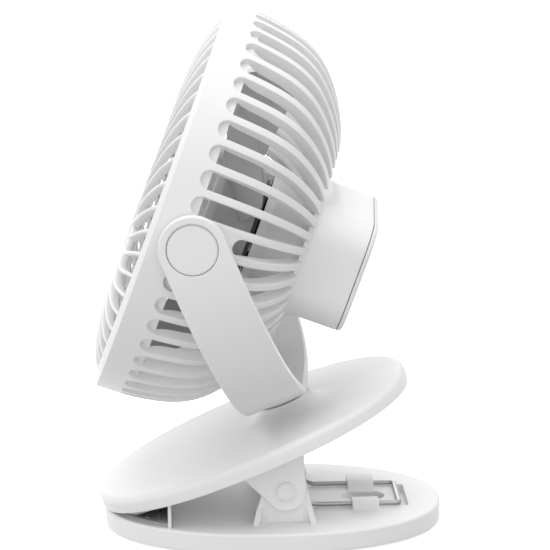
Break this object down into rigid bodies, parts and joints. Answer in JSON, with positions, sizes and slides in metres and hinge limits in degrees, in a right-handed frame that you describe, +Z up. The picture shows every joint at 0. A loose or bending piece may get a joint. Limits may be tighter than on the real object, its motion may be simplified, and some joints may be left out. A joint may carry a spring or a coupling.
{
  "type": "clip-on desk fan",
  "caption": "Clip-on desk fan: a round slotted head tilting in a U yoke, which swivels on a sprung clamp with two oval jaws that also stand on a desk.",
  "frame": {"origin": "centre of the foot pad's underside, below the middle of the lower jaw", "axes": "+Z up, +X from the grip end of the jaws to the spring-loop end, so the fan blows towards -X and up"},
  "size_m": [0.1286, 0.1614, 0.1953],
  "materials": {
    "white_shell": "fine matt moulded white",
    "impeller_white": "smooth moulded white",
    "grey_rubber": "matt",
    "spring_chrome": "bright plated wire",
    "white_pin": "matt white",
    "bright_steel": "satin",
    "bush_plastic": "smooth",
    "black_metal": "black",
    "magnet_grey": "dull",
    "copper_winding": "enamelled wire",
    "cell_sleeve": "shrink sleeve",
    "board_green": "solder mask",
    "switch_black": "smooth",
    "clear_lens": "frosted",
    "button_white": "satin"
  },
  "bodies": {
    "lower_jaw": {"lower_jaw": "white_shell", "foot_pad": "grey_rubber", "lower_grip_pad": "grey_rubber", "hinge_pin": "white_pin", "pin_retainer": "white_pin", "clip_spring": "spring_chrome"},
    "upper_jaw": {"upper_jaw": "white_shell", "upper_grip_pad": "grey_rubber", "swivel_bush": "bush_plastic"},
    "yoke": {"yoke": "white_shell", "pivot_cap_near": "white_shell", "pivot_cap_far": "white_shell", "swivel_washer": "bright_steel", "swivel_screw": "bright_steel"},
    "head": {"rear_cage": "white_shell", "rear_housing": "white_shell", "front_grille": "white_shell", "grille_cap": "white_shell", "rear_cap": "white_shell", "pivot_screws": "bright_steel", "pivot_washers": "bright_steel", "motor_base": "black_metal", "stator": "copper_winding", "motor_bearings": "bright_steel", "motor_screws": "bright_steel", "battery_cell": "cell_sleeve", "battery_contacts": "bright_steel", "control_board": "board_green", "board_screws": "bright_steel", "usb_socket": "bright_steel", "tact_switch": "switch_black", "charge_lens": "clear_lens"},
    "impeller": {"impeller": "impeller_white", "rotor_can": "black_metal", "rotor_magnet": "magnet_grey", "motor_shaft": "bright_steel"},
    "button": {"speed_button": "button_white"}
  },
  "joints": [
    {"name": "jaw_hinge", "type": "hinge", "parent": "lower_jaw", "child": "upper_jaw", "pos_m": [0.0035, 0, 0.0203], "axis": [0, 1, 0], "range_deg": [0, 38], "stiffness_Nm_per_rad": 0.6, "springref_deg": -51.57, "deforming": ["clip_spring"]},
    {"name": "yoke_swivel", "type": "hinge", "parent": "upper_jaw", "child": "yoke", "pos_m": [0.00467, 0, 0.0461], "axis": [-0.373, 0, 0.9278], "continuous": true},
    {"name": "head_tilt", "type": "hinge", "parent": "yoke", "child": "head", "pos_m": [-0.0248, 0, 0.11939], "axis": [0.0647, 0.9976, 0.026], "range_deg": [-20, 110]},
    {"name": "impeller_spin", "type": "hinge", "parent": "head", "child": "impeller", "pos_m": [-0.0248, 0, 0.11939], "axis": [0.9356, -0.0516, -0.3492], "continuous": true},
    {"name": "button_press", "type": "slide", "parent": "head", "child": "button", "axis": [-0.9356, 0.0516, 0.3492], "range_m": [0, 0.0008], "stiffness_N_per_m": 1500, "springref_m": -0.0006}
  ]
}
